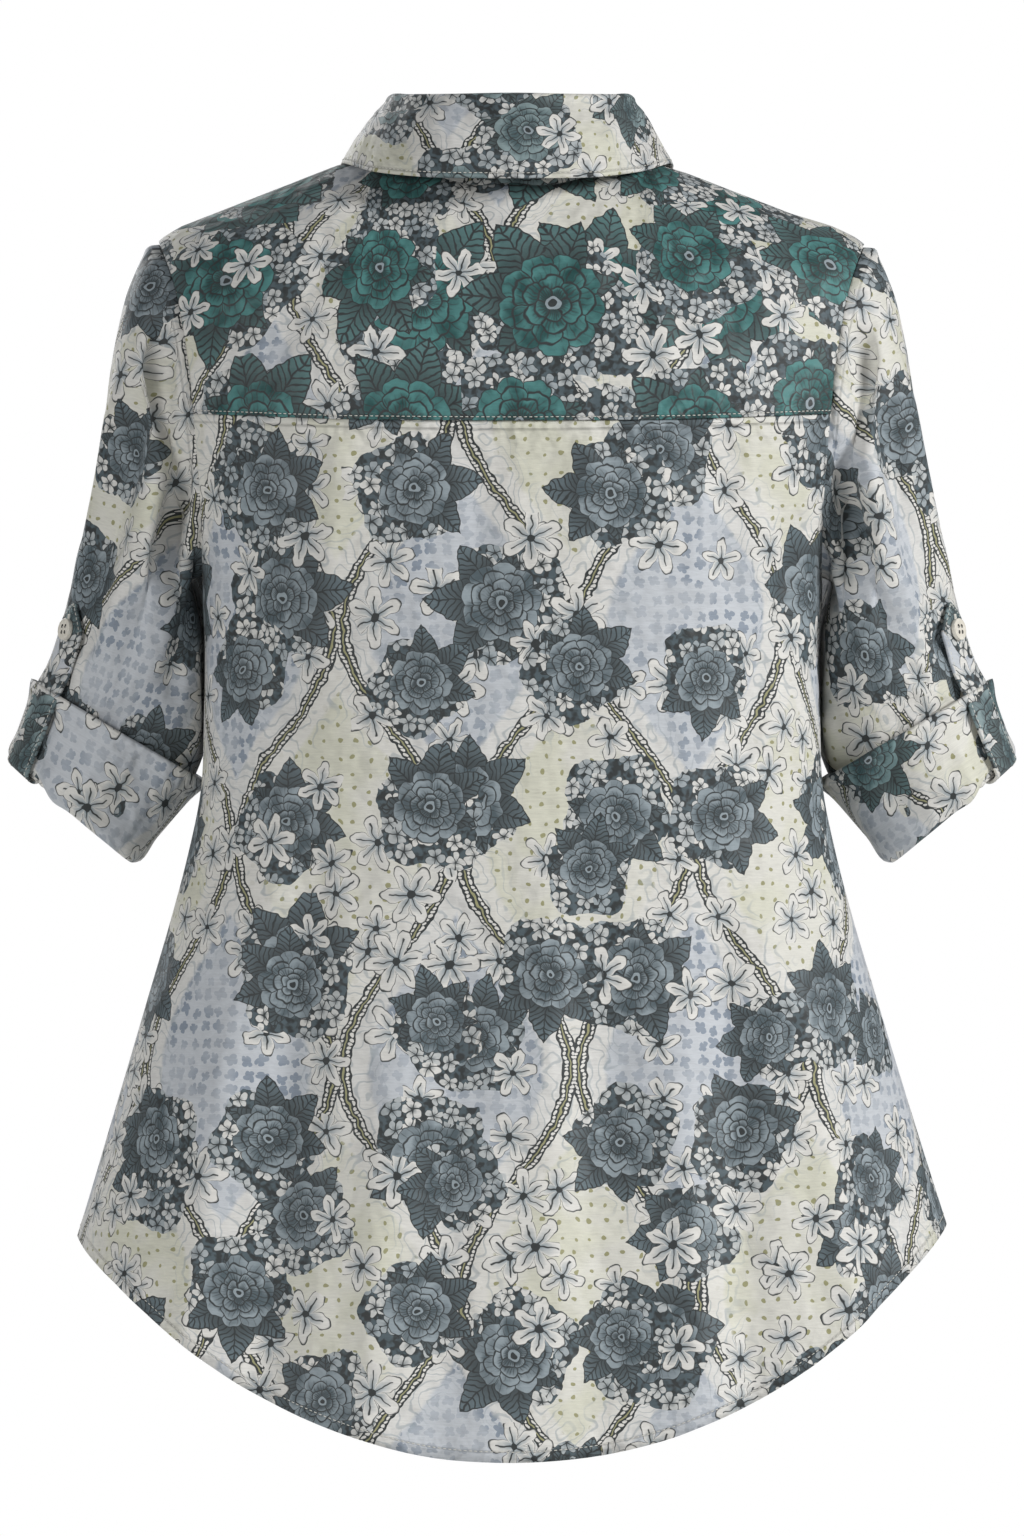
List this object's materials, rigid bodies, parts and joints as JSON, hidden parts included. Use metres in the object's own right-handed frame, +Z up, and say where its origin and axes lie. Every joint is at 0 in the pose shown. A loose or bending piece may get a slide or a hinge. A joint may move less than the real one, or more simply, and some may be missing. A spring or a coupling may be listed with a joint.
{
  "type": "blouse",
  "caption": "Woman's button-through blouse, filled out as worn: shirt collar, back yoke, sleeves rolled and held by buttoned tabs, flared body and deep curved hem.",
  "frame": {"origin": "level with the back neck seam, midway between the shoulder points, where a wearer's neck or a hanger holds it", "axes": "+Z up, +Y towards the back, +X towards the wearer's left"},
  "size_m": [0.5818, 0.285, 0.7775],
  "materials": {
    "cloth_body": "matt printed crepe",
    "cloth_yoke": "matt printed crepe",
    "cloth_collar": "matt printed crepe",
    "cloth_cuffs": "matt printed crepe",
    "buttons": "polished"
  },
  "bodies": {
    "root": {"back": "cloth_body", "yoke": "cloth_yoke", "front_left": "cloth_body", "front_right": "cloth_body", "placket": "cloth_body", "collar_stand": "cloth_collar", "collar_leaf": "cloth_collar", "sleeve_left": "cloth_body", "sleeve_right": "cloth_body", "cuff_left": "cloth_cuffs", "cuff_right": "cloth_cuffs", "tab_left": "cloth_cuffs", "tab_right": "cloth_cuffs", "tab_button_left": "buttons", "tab_button_right": "buttons", "button_1": "buttons", "button_2": "buttons", "button_3": "buttons", "button_4": "buttons", "button_5": "buttons", "button_6": "buttons", "button_7": "buttons", "collar_button": "buttons"}
  },
  "joints": []
}
